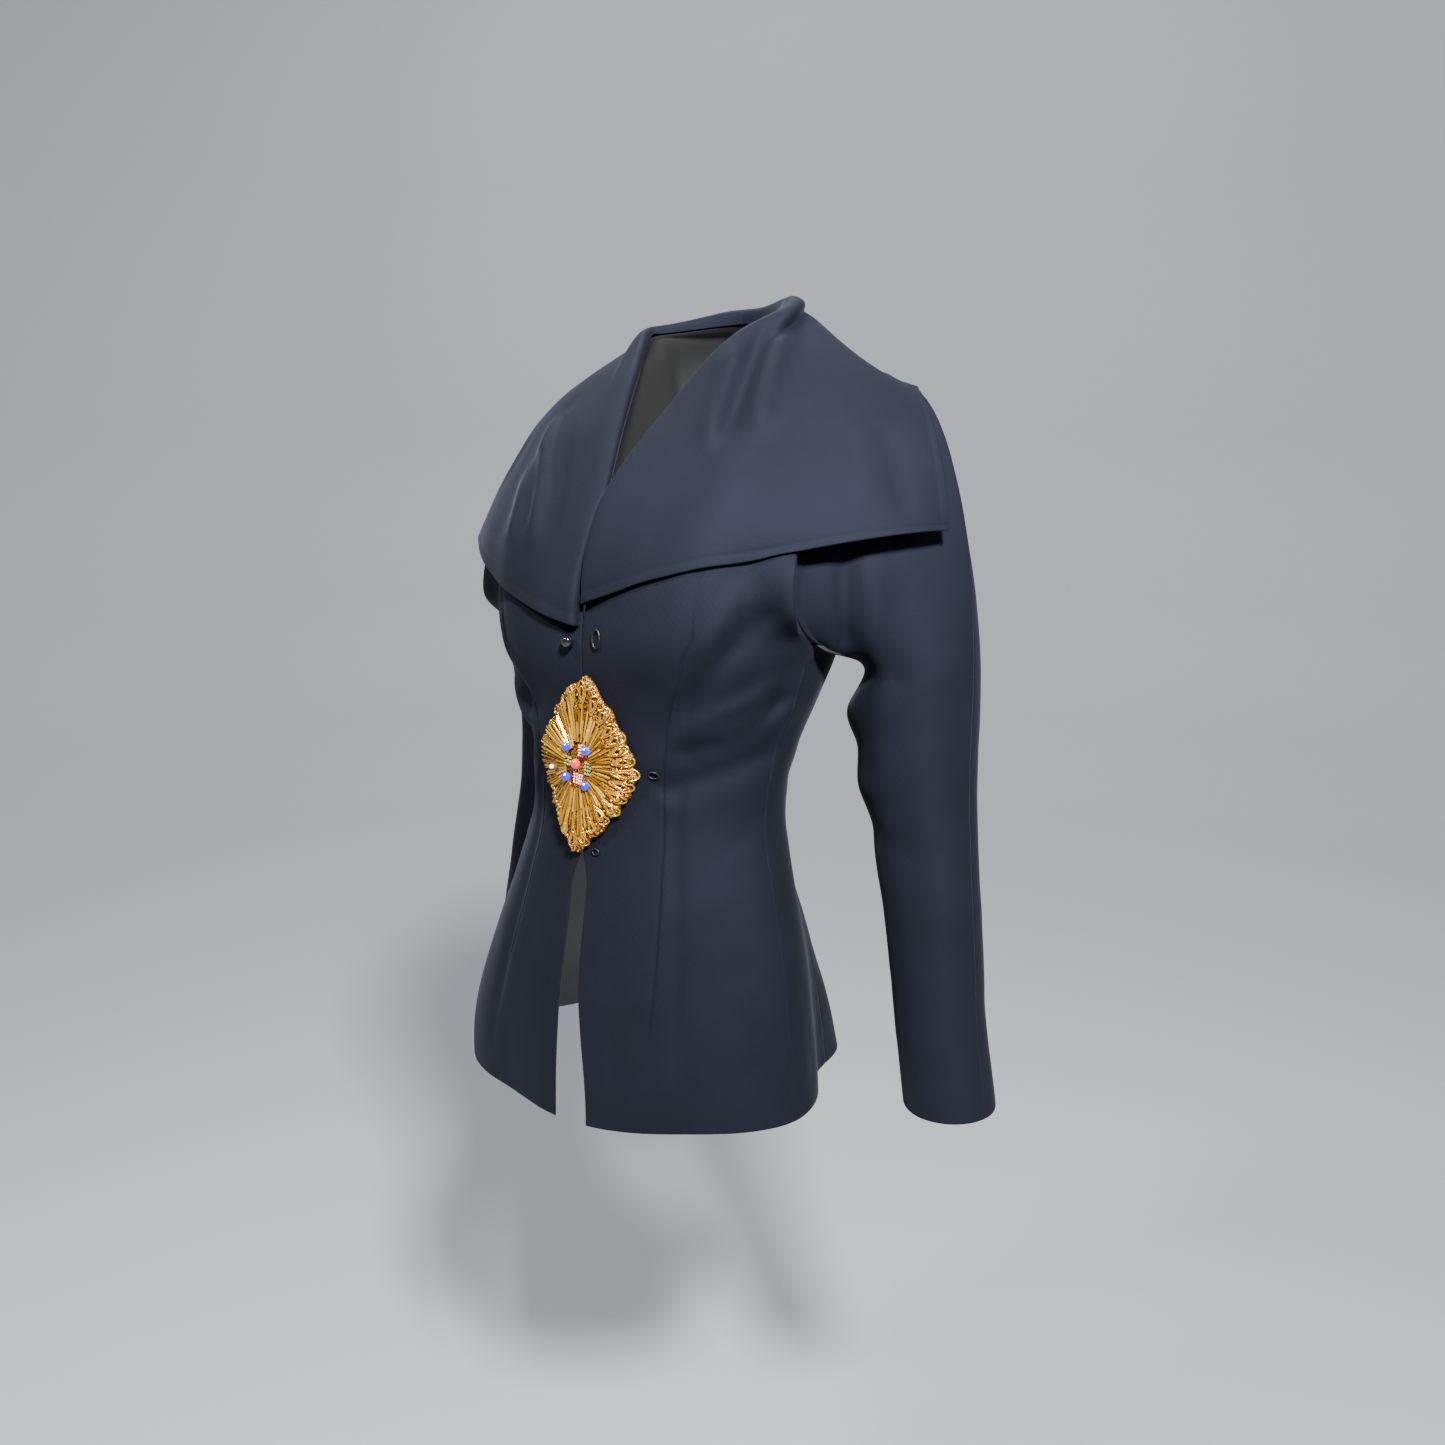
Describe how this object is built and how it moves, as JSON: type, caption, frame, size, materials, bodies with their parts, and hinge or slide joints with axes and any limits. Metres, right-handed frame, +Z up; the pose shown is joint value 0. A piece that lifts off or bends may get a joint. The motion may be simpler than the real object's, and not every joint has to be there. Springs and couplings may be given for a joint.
{
  "type": "evening jacket",
  "caption": "Fitted evening jacket in its worn form, with a wide collar over the shoulders, a flared peplum and a beaded ornament at the closing.",
  "frame": {"origin": "centre of the neck base, level with the neck points of the shoulder seams", "axes": "+Z up, +X to the wearer's left, -Y the way the wearer faces"},
  "size_m": [0.5748, 0.3051, 0.7029],
  "materials": {
    "crepe": "matte wool crepe with a faint sheen",
    "gold_beads": "gold-lined glass beads on a padded base",
    "blue_glass": "faceted, polished",
    "red_glass": "faceted, polished",
    "jet": "gloss",
    "black_cord": "twisted silk cord"
  },
  "bodies": {
    "root": {"front_left": "crepe", "front_right": "crepe", "side_left": "crepe", "side_right": "crepe", "back_left": "crepe", "back_right": "crepe", "sleeve_front_left": "crepe", "sleeve_front_right": "crepe", "sleeve_back_left": "crepe", "sleeve_back_right": "crepe", "collar_left": "crepe", "collar_right": "crepe", "ornament_base": "gold_beads", "stone_blue_1": "blue_glass", "stone_blue_2": "blue_glass", "stone_blue_3": "blue_glass", "stone_blue_4": "blue_glass", "stone_red": "red_glass", "ball_button": "jet", "button_loop": "black_cord", "thread_loop_side": "black_cord", "thread_loop_foot": "black_cord"}
  },
  "joints": []
}
